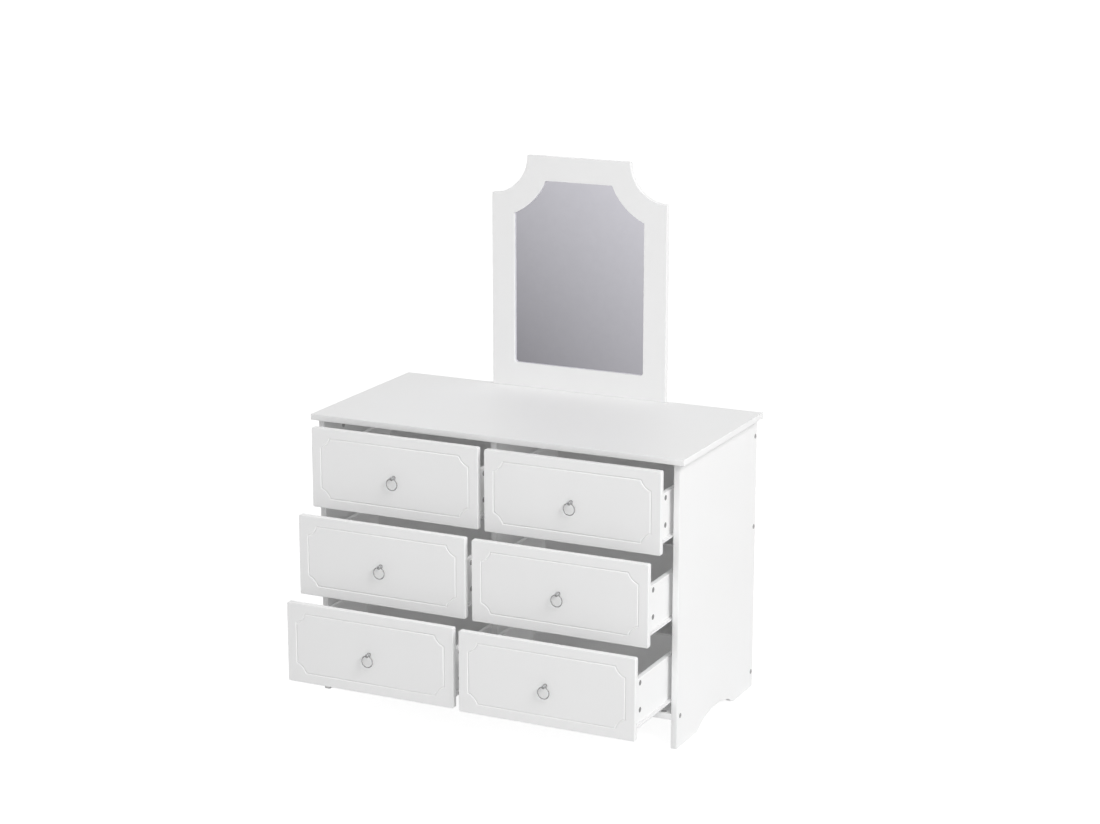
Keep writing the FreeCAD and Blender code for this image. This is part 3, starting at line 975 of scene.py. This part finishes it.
@dataclass(frozen=True)
class Cabinet:
    """Boards of the cabinet, its connectors and the runners screwed into it."""

    dresser: Dresser
    top_board: Board = Board(Plane.LEVEL, roll=0.6 * MM, corner=1.4 * MM, corner_steps=7)
    bolt: ScrewHead = ScrewHead(6.0 * MM, 1.4 * MM, Drive.HEXAGON, 0.42)
    bolt_heights: tuple[float, ...] = (42 * MM, 425 * MM, 658 * MM)
    front_bolt: Pair = (20 * MM, 79.5 * MM)
    cam: ScrewHead = ScrewHead(7.5 * MM, 0.4 * MM, Drive.CROSS, 0.62)
    cam_drop: float = 33 * MM
    cam_from_front: float = 94 * MM
    floor_cam: Pair = (24 * MM, 12 * MM)
    nail: ScrewHead = ScrewHead(2.2 * MM, 0.5 * MM, Drive.NONE, sides=12)
    nail_step: float = 95 * MM
    nail_inset: float = 6 * MM

    def boards(self) -> None:
        """Top board, sides, divider and bottom board."""
        finishes = self.dresser.finishes
        for node, name, shape, finish in (
                ("side_panel_left", "side_left", SidePanel(), finishes.upright_board),
                ("side_panel_right", "side_right", SidePanel(), finishes.upright_board),
                ("top_panel", "top_panel_board", self.top_board, finishes.level_board),
                ("bottom_panel", "bottom_panel_board", Board(Plane.LEVEL), finishes.level_board),
                ("centre_divider", "centre_divider_board", Board(Plane.SIDEWAYS),
                 finishes.upright_board)):
            skin = Skin(shape.loops(*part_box(node)))
            self.dresser.put(skin, name, "cabinet", finish, "white_board", node)

    def bolts(self) -> None:
        """Connector bolts in the outer faces of both sides."""
        rail = (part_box("back_rails")[0].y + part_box("back_rails")[1].y) / 2
        heads = []
        for end, (side, facing) in enumerate(zip(Column, (Facing.LEFT, Facing.RIGHT))):
            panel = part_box(f"side_panel_{side.value}")
            spots = [(panel[end].x, rail, z) for z in self.bolt_heights]
            spots.append((panel[end].x, panel[0].y + self.front_bolt[0], self.front_bolt[1]))
            heads += self.bolt.at(facing, spots)
        self.dresser.fasten(heads, "connector_bolts")

    def cams(self) -> None:
        """Cam locks under the top board and on the bottom board."""
        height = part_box("top_panel")[0].z - self.cam_drop
        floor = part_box("bottom_panel")[1].z
        heads = []
        for end, (side, facing) in enumerate(zip(Column, (Facing.RIGHT, Facing.LEFT))):
            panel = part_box(f"side_panel_{side.value}")
            x = panel[1 - end].x
            front, rear = panel[0].y, panel[1].y
            heads += self.cam.at(facing, [(x, front + self.cam_from_front, height),
                                          (x, rear - self.cam_from_front, height)])
            inside = x + facing.value[1] * self.floor_cam[0]
            heads += self.cam.at(Facing.UP, [(inside, front + self.floor_cam[1], floor)])
        # The cams' dark zinc is partly painted shade of their unmodelled bore holes.
        self.dresser.put(Skin(*heads), "cam_locks", "cabinet", self.dresser.finishes.cam,
                         "strap_steel")

    def back_nails(self) -> None:
        """Nails round the back sheet and down its middle, into the divider."""
        low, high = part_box("back_panel")
        x_nails, z_nails = (
            np.linspace(start + self.nail_inset, end - self.nail_inset,
                        round((end - start) / self.nail_step))
            for start, end in ((low.x, high.x), (low.z, high.z)))
        spots = [(x, high.y, z) for x in x_nails for z in z_nails[[0, -1]]]
        spots += [(x, high.y, z) for z in z_nails[1:-1] for x in (x_nails[0], 0.0, x_nails[-1])]
        self.dresser.fasten(self.nail.at(Facing.REAR, spots), "back_nails")

    def build(self) -> None:
        """Build and dress the whole cabinet; rails, sheet and runners keep their solids."""
        self.boards()
        bare_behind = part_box("back_panel")[1].y - FIBRE_DEPTH
        self.dresser.dress("back_rails", self.dresser.finishes.level_board)
        self.dresser.dress("back_panel", Hardboard("back_hardboard", bare_behind).make())
        self.dresser.dress("cabinet_runners", self.dresser.finishes.runner)
        self.bolts()
        self.cams()
        self.back_nails()


# Drawers

@dataclass(frozen=True)
class DrawerFront:
    """Front with a rolled face and a routed line that steps round scooped corners.

    Across the line, line_reach, line_level, line_point and line_shoulder are in half
    widths of the line: how far its slopes run out, where the field beside it is level
    again, and how softly its bottom and its shoulders are rounded.
    """

    corner: float = 4.0 * MM
    face_roll: float = 1.4 * MM
    back_roll: float = 0.5 * MM
    back_level: float = 1.3
    line_inset: float = 23 * MM
    line_cove: float = 25.5 * MM
    line_cove_beyond: float = 10 * MM
    line_width: float = 4.5 * MM
    line_depth: float = 1.6 * MM
    line_reach: float = 1.1
    line_level: float = 1.3
    line_point: float = 0.05
    line_shoulder: float = 0.004
    line_steps: int = 15
    corner_steps: int = 17
    back_steps: int = 4
    face_steps: int = 7

    def line_profile(self) -> tuple[np.ndarray, np.ndarray]:
        """Inset and depth across the routed line.

        The depth is a V whose point is softened as a hyperbola and whose shoulders run
        out softly, scaled to end level with the face.  A level strip along both sides
        keeps the field flat.

        Returns:
            Inset from the line's outer edge, and depth.
        """
        across = np.linspace(-self.line_reach, self.line_reach, self.line_steps)
        vee = 1 - np.sqrt(across ** 2 + self.line_point)
        soft = (vee + np.sqrt(vee ** 2 + self.line_shoulder)) / 2
        soft = (soft - soft.min()) / (soft.max() - soft.min())
        across = np.concatenate([[-self.line_level], across, [self.line_level]])
        return (across + 1) * self.line_width / 2, np.pad(soft, 1) * self.line_depth

    def loops(self, low: Vector, high: Vector) -> np.ndarray:
        """The front's surface, from its back round its edge and over the line to its field.

        Args:
            low: Lowest corner of the front's box.
            high: Its highest corner.

        Returns:
            Points as loops × points × 3.
        """
        size = high - low
        half = np.array([size.x / 2, size.z / 2])
        back_inset, back_depth = quarter_roll(self.back_roll, self.back_steps)
        face_inset, face_depth = quarter_roll(self.face_roll, self.face_steps)
        inset = np.concatenate([[self.back_roll * self.back_level], back_inset,
                                face_inset[::-1], [self.face_roll * PAST_ROLL]])
        depth = np.concatenate([[size.y], size.y - back_depth, face_depth[::-1], [0]])
        rim = rounded_corner(inset, self.corner - inset, self.corner_steps)
        line_inset, line_depth = self.line_profile()
        line = scooped_corner(line_inset, self.line_cove, self.corner_steps,
                              self.line_cove_beyond)
        loops = np.concatenate([round_a_rectangle(rim, rim, tuple(half)),
                                round_a_rectangle(line, line, tuple(half - self.line_inset))])
        middle = Vector(((low.x + high.x) / 2, low.y, (low.z + high.z) / 2))
        return lifted(loops, np.concatenate([depth, line_depth]), Plane.FRONTAL, middle)


@dataclass(frozen=True)
class RingPull:
    """Turned knob with an eye, and the ring that hangs in it."""

    foot: float = 5.2 * MM
    foot_thick: float = 1.0 * MM
    foot_edge: float = 0.3 * MM
    foot_bevel: float = 0.2 * MM
    foot_shoulder: float = 0.6 * MM
    neck: float = 2.6 * MM
    neck_start: float = 3.5 * MM
    reach: float = 10.5 * MM
    eye: float = 4.8 * MM
    eye_half_width: float = 3.5 * MM
    eye_hole: float = 2.4 * MM
    eye_lip: float = 0.3 * MM
    eye_wall: float = 1.0 * MM
    wire: float = 1.2 * MM
    sides: int = 48
    flare_steps: int = 8
    ball_steps: int = 15
    ring_steps: int = 96
    wire_steps: int = 16

    def knob(self, low: Vector, high: Vector) -> Skin:
        """Foot and neck turned about Y, and a ball drilled and faced off across X.

        The neck's radius falls with the square of the way left to go, and the ball's is
        the cosine of its latitude.

        Args:
            low: Lowest corner of the knob's box.
            high: Its highest corner.

        Returns:
            The knob's two surfaces.
        """
        flare = np.linspace(0, 1, self.flare_steps)
        taper = self.foot - self.foot_shoulder - self.neck
        radius = np.concatenate([[self.foot - self.foot_edge], [self.foot] * 2,
                                 self.neck + taper * (1 - flare) ** 2, [self.neck]])
        along = np.concatenate([[0, self.foot_edge, self.foot_thick - self.foot_bevel],
                                self.foot_thick + (self.neck_start - self.foot_thick) * flare,
                                [self.reach - self.eye_hole - self.eye_wall]])
        root = Vector(((low.x + high.x) / 2, high.y, (low.z + high.z) / 2))
        skin = Skin(faced(lathe(radius, along, self.sides), Facing.FRONT, root))
        meets = math.asin(self.eye_half_width / self.eye)
        latitude = np.linspace(-meets, meets, self.ball_steps)
        lip = [self.eye_hole, self.eye_hole + self.eye_lip]
        side = np.array([self.eye_lip - self.eye_half_width, -self.eye_half_width])
        radius = np.concatenate([lip, self.eye * np.cos(latitude), lip[::-1]])
        along = np.concatenate([side, self.eye * np.sin(latitude), -side[::-1]])
        centre = root - Vector((0, self.reach, 0))
        skin.add(faced(lathe(radius, along, self.sides), Facing.RIGHT, centre), Ends.JOINED)
        return skin

    def ring(self, low: Vector, high: Vector) -> Skin:
        """Round wire bent to a circle: circles of the wire about the ring's own circle.

        Args:
            low: Lowest corner of the ring's box.
            high: Its highest corner.

        Returns:
            The ring's surface.
        """
        radius = (high.z - low.z) / 2 - self.wire
        along = np.linspace(0, 2 * math.pi, self.ring_steps, endpoint=False)[:, None]
        about = np.linspace(0, 2 * math.pi, self.wire_steps, endpoint=False)[None, :]
        out = radius + self.wire * np.cos(about)
        loops = np.stack([out * np.sin(along), self.wire * np.sin(about) + 0 * along,
                          out * np.cos(along)], axis=-1)
        return Skin(loops + np.array((low + high) / 2), ends=Ends.JOINED)


@dataclass(frozen=True)
class Roller:
    """Moulded roller with rounded edges and a dished web round its hub."""

    width: float = 5.0 * MM
    bore: float = 2.56 * MM
    hub: float = 4.2 * MM
    rim: float = 6.9 * MM
    dish: float = 0.8 * MM
    dish_slope: float = 0.3 * MM
    round_edge: float = 0.6 * MM
    edge_steps: int = 5
    sides: int = 64

    def loops(self, radius: float) -> np.ndarray:
        """The roller's surface: half its section, mirrored across its width and turned.

        Args:
            radius: Radius of its running surface.

        Returns:
            Points as loops × sides × 3, about the third axis.
        """
        half = self.width / 2
        floor = half - self.dish
        inset, drop = quarter_roll(self.round_edge, self.edge_steps)
        web = [self.bore, self.hub, self.hub + self.dish_slope, self.rim - self.dish_slope,
               self.rim]
        out = np.concatenate([web, radius - inset])
        along = np.concatenate([[half, half, floor, floor, half], half - drop])
        return lathe(np.concatenate([out, out[::-1]]), np.concatenate([along, -along[::-1]]),
                     self.sides)


@dataclass(frozen=True)
class Drawer:
    """One drawer with its front, box, pull, runners, rollers and fittings."""

    dresser: Dresser
    row: Row
    column: Column
    side: Board = Board(Plane.SIDEWAYS, roll=1.0 * MM, corner=1.6 * MM)
    side_thickness: float = 12 * MM
    back_drop: float = 0.6 * MM
    bottom_lift: float = 10 * MM
    bottom_sheet: float = 3 * MM
    cam: ScrewHead = ScrewHead(6.5 * MM, 0.4 * MM, Drive.CROSS, 0.62)
    cam_back: float = 37 * MM
    cam_heights: tuple[float, ...] = (40 * MM, 106 * MM)
    box_screw: ScrewHead = ScrewHead(3.5 * MM, 0.8 * MM, Drive.CROSS, 0.6, sides=16)
    knob_screw: ScrewHead = ScrewHead(4.5 * MM, 2.0 * MM, Drive.CROSS, 0.55)
    runner_screw: ScrewHead = ScrewHead(2.8 * MM, 0.9 * MM, Drive.CROSS, 0.6, sides=16)
    runner_screw_places: tuple[float, ...] = (30 * MM, 165 * MM, 300 * MM)
    runner_screw_lift: float = 4.6 * MM
    steel: float = 1.0 * MM

    def node(self, piece: str) -> str:
        """Name of one of this drawer's nodes, which are also its bodies."""
        return f"{piece}_{self.row.value}_{self.column.value}"

    def front(self) -> None:
        """The front."""
        node = self.node("front")
        self.dresser.put(Skin(DrawerFront().loops(*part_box(node))), self.node("face"),
                         self.node("drawer"), self.dresser.finishes.front, "white_board", node)

    def box(self) -> None:
        """Two sides, and the back between them on the bottom sheet."""
        low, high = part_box(self.node("box"))
        step = Vector((self.side_thickness, 0, 0))
        sheet = low.z + self.bottom_lift + self.bottom_sheet
        rear = Vector((low.x, high.y - self.side_thickness, sheet)) + step
        skin = Skin(self.side.loops(low, Vector((low.x, high.y, high.z)) + step),
                    self.side.loops(Vector((high.x, low.y, low.z)) - step, high),
                    Board(Plane.FRONTAL).loops(rear, high - step - Vector((0, 0, self.back_drop))))
        self.dresser.put(skin, self.node("case"), self.node("drawer"),
                         self.dresser.finishes.level_board, "white_board", self.node("box"))

    def pull(self) -> None:
        """Knob and ring."""
        pull = RingPull()
        for make, node, name, body in ((pull.knob, "knob", "pull", "drawer"),
                                       (pull.ring, "ring", "wire_ring", "ring")):
            self.dresser.put(make(*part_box(self.node(node))), self.node(name), self.node(body),
                             self.dresser.finishes.chrome, "chrome_plate", self.node(node))

    def rollers(self) -> None:
        """Front rollers on the cabinet's pins and rear rollers on the drawer's."""
        roller = Roller()
        for which in ("front", "rear"):
            node = self.node(f"{which}_rollers")
            low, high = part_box(node)
            centre = (low + high) / 2
            loops = roller.loops((high.z - low.z) / 2)
            places = (low.x + roller.width / 2, high.x - roller.width / 2)
            skin = Skin(*(faced(loops, Facing.RIGHT, (x, centre.y, centre.z)) for x in places),
                        ends=Ends.JOINED)
            self.dresser.put(skin, self.node(f"{which}_wheels"), node,
                             self.dresser.finishes.nylon, "roller_nylon", node)

    def fittings(self) -> None:
        """Cams at the front, screws at the rear, runner screws and the knob's screw."""
        low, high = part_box(self.node("box"))
        cams, screws = [], []
        for x, facing in ((low.x, Facing.LEFT), (high.x, Facing.RIGHT)):
            heights = [low.z + lift for lift in self.cam_heights]
            rear = high.y - self.side_thickness / 2
            runner = x + facing.value[1] * self.steel
            level = low.z + self.runner_screw_lift
            cams += self.cam.at(facing, [(x, low.y + self.cam_back, z) for z in heights])
            screws += self.box_screw.at(facing, [(x, rear, z) for z in heights])
            screws += self.runner_screw.at(
                facing, [(runner, low.y + along, level) for along in self.runner_screw_places])
        front, knob = (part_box(self.node(name)) for name in ("front", "knob"))
        spot = ((front[0].x + front[1].x) / 2, front[1].y, (knob[0].z + knob[1].z) / 2)
        screws += self.knob_screw.at(Facing.REAR, [spot])
        self.dresser.fasten(screws, self.node("fittings"), self.node("drawer"))
        # The cams' dark zinc is partly painted shade of their unmodelled bore holes.
        self.dresser.put(Skin(*cams), self.node("cams"), self.node("drawer"),
                         self.dresser.finishes.cam, "strap_steel")

    def build(self) -> None:
        """Build and dress the whole drawer; bottom and runners keep their solids."""
        self.front()
        self.box()
        self.dresser.dress(self.node("bottom"), self.dresser.finishes.bottom)
        self.pull()
        self.rollers()
        self.fittings()
        self.dresser.dress(self.node("runners"), self.dresser.finishes.runner)


# Mirror

@dataclass(frozen=True)
class Mirror:
    """Board with scooped upper corners and an opening, its glass, backing and straps."""

    dresser: Dresser
    cove: float = 100 * MM
    border: float = 62 * MM
    opening_corner: float = 8 * MM
    rebate: float = 8 * MM
    lip: float = 7 * MM
    outer_roll: float = 1.0 * MM
    opening_roll: float = 1.0 * MM
    foot_corner: float = 1.5 * MM
    outer_steps: int = 5
    opening_steps: int = 6
    corner_steps: int = 33
    strap: Board = Board(Plane.FRONTAL, roll=0.5 * MM, corner=15 * MM, corner_steps=13)
    strap_screw: ScrewHead = ScrewHead(4.2 * MM, 0.4 * MM, Drive.CROSS, 0.55)
    strap_screw_inset: Pair = (15 * MM, 60 * MM)
    backing_screw: ScrewHead = ScrewHead(4.5 * MM, 1.2 * MM, Drive.CROSS, 0.5)
    backing_screw_out: float = 2 * MM
    backing_screw_from_foot: float = 60 * MM
    backing_screw_from_head: float = 160 * MM
    backing_screw_rows: int = 3
    backing_screw_aside: float = 90 * MM

    def section(self, thickness: float) -> tuple[np.ndarray, np.ndarray]:
        """Inset and depth once round the frame's section.

        It starts on the front face, runs round the opening's rolled edge, over the lip
        and out of the rebate, across the back and round the outer edge.

        Args:
            thickness: Thickness of the board.

        Returns:
            Inset from the board's outline, and depth behind its front face.
        """
        outer_inset, outer_depth = quarter_roll(self.outer_roll, self.outer_steps)
        roll_inset, roll_depth = quarter_roll(self.opening_roll, self.opening_steps)
        wall = self.border - self.rebate
        flat = self.outer_roll * PAST_ROLL
        inset = np.concatenate([[flat, self.border - self.opening_roll * PAST_ROLL],
                                self.border - roll_inset, [self.border, wall, wall, flat],
                                outer_inset, outer_inset[::-1]])
        depth = np.concatenate([[0, 0], roll_depth, [self.lip, self.lip, thickness, thickness],
                                thickness - outer_depth, outer_depth[::-1]])
        return inset, depth

    def frame(self) -> None:
        """The board: every point of its section is carried round an outline of its own.

        Above, the outlines are scooped about the board's corners.  Below, they are rounded
        about one centre near the opening and another near the edge.
        """
        low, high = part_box("mirror_frame")
        inset, depth = self.section(high.y - low.y)
        upper = scooped_corner(inset, self.cove, self.corner_steps)
        radius = np.where(inset > self.border / 2, self.opening_corner + self.border - inset,
                          self.foot_corner - inset)
        lower = rounded_corner(inset, radius, self.corner_steps)
        half = ((high.x - low.x) / 2, (high.z - low.z) / 2)
        middle = Vector(((low.x + high.x) / 2, low.y, (low.z + high.z) / 2))
        loops = lifted(round_a_rectangle(upper, lower, half), depth, Plane.FRONTAL, middle)
        self.dresser.put(Skin(loops, ends=Ends.JOINED), "mirror_board", "cabinet",
                         self.dresser.finishes.front, "white_board", "mirror_frame")

    def straps(self) -> None:
        """The two straps and the flat screws through their ends, within their thickness."""
        low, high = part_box("mirror_straps")
        high.y -= self.strap_screw.height
        width = 2 * self.strap.corner
        heights = [low.z + step for step in self.strap_screw_inset]
        heights += [high.z - step for step in self.strap_screw_inset]
        bars, heads = [], []
        for left in (low.x, high.x - width):
            bars.append(self.strap.loops(Vector((left, low.y, low.z)),
                                         Vector((left + width, high.y, high.z))))
            heads += self.strap_screw.at(Facing.REAR,
                                         [(left + width / 2, high.y, z) for z in heights])
        self.dresser.put(Skin(*bars), "mirror_strap_bars", "cabinet",
                         self.dresser.finishes.strap, "strap_steel", "mirror_straps")
        self.dresser.fasten(heads, "strap_screws")

    def backing_screws(self) -> None:
        """Screws round the rebate, whose heads hold the backing in."""
        low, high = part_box("mirror_backing")
        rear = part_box("mirror_frame")[1].y
        out = self.backing_screw_out
        rows = np.linspace(low.z + self.backing_screw_from_foot,
                           high.z - self.backing_screw_from_head, self.backing_screw_rows)
        spots = [(x, rear, z) for x in (low.x - out, high.x + out) for z in rows]
        spots += [(x, rear, z) for x in (-self.backing_screw_aside, self.backing_screw_aside)
                  for z in (low.z - out, high.z + out)]
        self.dresser.fasten(self.backing_screw.at(Facing.REAR, spots), "backing_screws")

    def build(self) -> None:
        """Build and dress the whole mirror; glass and backing keep their solids."""
        self.frame()
        self.straps()
        self.backing_screws()
        bare_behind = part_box("mirror_backing")[1].y - FIBRE_DEPTH
        self.dresser.dress("mirror_glass", self.dresser.finishes.mirror)
        self.dresser.dress("mirror_backing", Hardboard("backing_hardboard", bare_behind).make())


# Studio

@dataclass(frozen=True)
class Lamp:
    """A large square lamp that shines on the dresser from afar."""

    name: str
    towards: Triple
    size: float
    level: float
    distance: float = 11.0
    aim: Triple = (0.0, 0.0, 0.5)

    def build(self) -> None:
        """Hang the lamp, kept out of reflections.

        Its power gives a white surface that faces it a radiance equal to its level:
        the level times the distance squared times pi squared.
        """
        data = bpy.data.lights.new(self.name, "AREA")
        data.shape = "SQUARE"
        data.size = self.size
        data.energy = self.level * (math.pi * self.distance) ** 2
        lamp = bpy.data.objects.new(self.name, data)
        towards = Vector(self.towards).normalized()
        lamp.location = towards * self.distance + Vector(self.aim)
        lamp.rotation_mode = "QUATERNION"
        lamp.rotation_quaternion = towards.to_track_quat("Z", "Y")
        lamp.visible_glossy = False
        bpy.context.scene.collection.objects.link(lamp)


@dataclass(frozen=True)
class Studio:
    """White floor and surroundings, two large soft lamps, and the camera."""

    floor_size: float = 30.0
    floor_drop: float = 0.2 * MM
    floor_bounce: float = 0.77
    floor_seen: float = 0.30
    floor_glow: float = 0.92
    ambient: float = 0.485
    backdrop: float = 1.15
    key: Lamp = Lamp("key", towards=(0.69, -0.39, 0.61), size=4.6, level=0.59)
    fill: Lamp = Lamp("fill", towards=(0.30, -0.93, 0.14), size=5.0, level=0.088)
    focal_pixels: float = 2588.9
    image_width: float = 1100.0
    sensor: float = 36.0
    yaw: float = math.radians(25.853)
    pitch: float = math.radians(14.128)
    eye: Triple = (2.7303, -5.4583, 2.2803)
    sky_slope: Triple = (1.0, 0.0, 1.0)
    sky_span: Pair = (-0.67, -0.54)
    sky_tones: Pair = (0.34, 0.99)
    dark_towards: Triple = (0.42, -0.87, 0.24)
    dark_span: Pair = (0.62, 0.93)
    dark_heights: Pair = (-0.13, 0.03)
    dark_depth: float = 0.96
    bright_span: Pair = (0.86, 0.97)
    bright_level: float = 1.8

    def camera(self) -> None:
        """Camera at the eye, turned by its yaw and tipped down by its pitch, with no roll."""
        data = bpy.data.cameras.new("camera")
        data.sensor_width = self.sensor
        data.lens = self.focal_pixels / self.image_width * self.sensor
        camera = bpy.data.objects.new("camera", data)
        camera.location = self.eye
        camera.rotation_euler = (QUARTER - self.pitch, 0, self.yaw)
        bpy.context.scene.collection.objects.link(camera)
        bpy.context.scene.camera = camera

    def reflected(self, tree: Tree) -> Socket:
        """Tone of the surroundings in reflections, by direction.

        It rises evenly from low on the left to high on the right, is dark round the
        direction that the room's unlit end lies in, down to the horizon, and bright
        round the key lamp's.

        Args:
            tree: The world's nodes.

        Returns:
            The tone.
        """
        direction = tree.node("ShaderNodeTexCoord").outputs["Generated"]
        slope, unlit, height, key = (
            tree.dot(direction, vector)
            for vector in (self.sky_slope, self.dark_towards, (0.0, 0.0, 1.0), self.key.towards))
        sky = tree.ranged(slope, *self.sky_tones, *self.sky_span, Ease.EVEN)
        dark = tree.ranged(unlit, 0.0, self.dark_depth, *self.dark_span)
        above = tree.ranged(height, 0.0, 1.0, *self.dark_heights)
        lit = tree.math("SUBTRACT", 1.0, tree.math("MULTIPLY", dark, above))
        bright = tree.ranged(key, 0.0, self.bright_level, *self.bright_span)
        return tree.math("ADD", tree.math("MULTIPLY", sky, lit), bright)

    def world(self) -> None:
        """White to the eye, an even pale light, and a grey to pale sky in reflections."""
        world = bpy.data.worlds.new("studio")
        bpy.context.scene.world = world
        world.use_nodes = True
        world.node_tree.nodes.clear()
        tree = Tree(world.node_tree)
        path = tree.node("ShaderNodeLightPath").outputs
        light, tone, backdrop = (
            tree.feed(tree.node("ShaderNodeBackground"), Color=grey(1.0), Strength=strength)
            for strength in (self.ambient, self.reflected(tree), self.backdrop))
        seen = tree.math("MAXIMUM", path["Is Camera Ray"], path["Is Transmission Ray"])
        unseen = tree.blended(path["Is Glossy Ray"], light, tone)
        shown = tree.blended(seen, unseen, backdrop)
        tree.feed(tree.node("ShaderNodeOutputWorld"), Surface=shown.outputs[0])

    def floor(self) -> None:
        """White floor that keeps a soft shadow and shows white to the eye."""
        mesh = bpy.data.meshes.new("studio_floor")
        corners = np.array([[-1, -1, 0], [1, -1, 0], [1, 1, 0], [-1, 1, 0]])
        corners = corners * self.floor_size / 2 - (0, 0, self.floor_drop)
        mesh.from_pydata(corners.tolist(), [], [[0, 1, 2, 3]])
        floor = bpy.data.objects.new("studio_floor", mesh)
        bpy.context.scene.collection.objects.link(floor)
        recipe = Recipe("studio_white")
        path = recipe.node("ShaderNodeLightPath").outputs
        bounce, shaded = (
            recipe.feed(recipe.node("ShaderNodeBsdfDiffuse"), Color=grey(share))
            for share in (self.floor_bounce, self.floor_seen))
        glow = recipe.node("ShaderNodeEmission")
        recipe.feed(glow, Color=grey(1.0), Strength=self.floor_glow)
        seen = recipe.node("ShaderNodeAddShader")
        recipe.feed(seen, n0=shaded.outputs[0], n1=glow.outputs[0])
        shown = recipe.blended(path["Is Camera Ray"], bounce, seen)
        recipe.feed(recipe.nodes["Material Output"], Surface=shown.outputs[0])
        mesh.materials.append(recipe.material)
        floor.visible_glossy = False
        floor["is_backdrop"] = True

    def build(self) -> None:
        """Set up the whole studio."""
        self.camera()
        self.world()
        self.floor()
        self.key.build()
        self.fill.build()
        bpy.context.scene.view_settings.view_transform = "Standard"


def hide_from_mirror() -> None:
    """Keep the cabinet out of reflections, so that the mirror shows its surroundings."""
    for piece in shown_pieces():
        if not piece.name.startswith("mirror"):
            piece.visible_glossy = False


def main() -> None:
    """Build every sub-assembly in order."""
    logging.basicConfig(level=logging.INFO, format="%(name)s: %(message)s")
    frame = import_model()
    dresser = Dresser(frame, Finishes())
    Cabinet(dresser).build()
    for row in Row:
        for column in Column:
            Drawer(dresser, row, column).build()
    Mirror(dresser).build()
    Studio().build()
    hide_from_mirror()


if __name__ == "__main__":
    main()
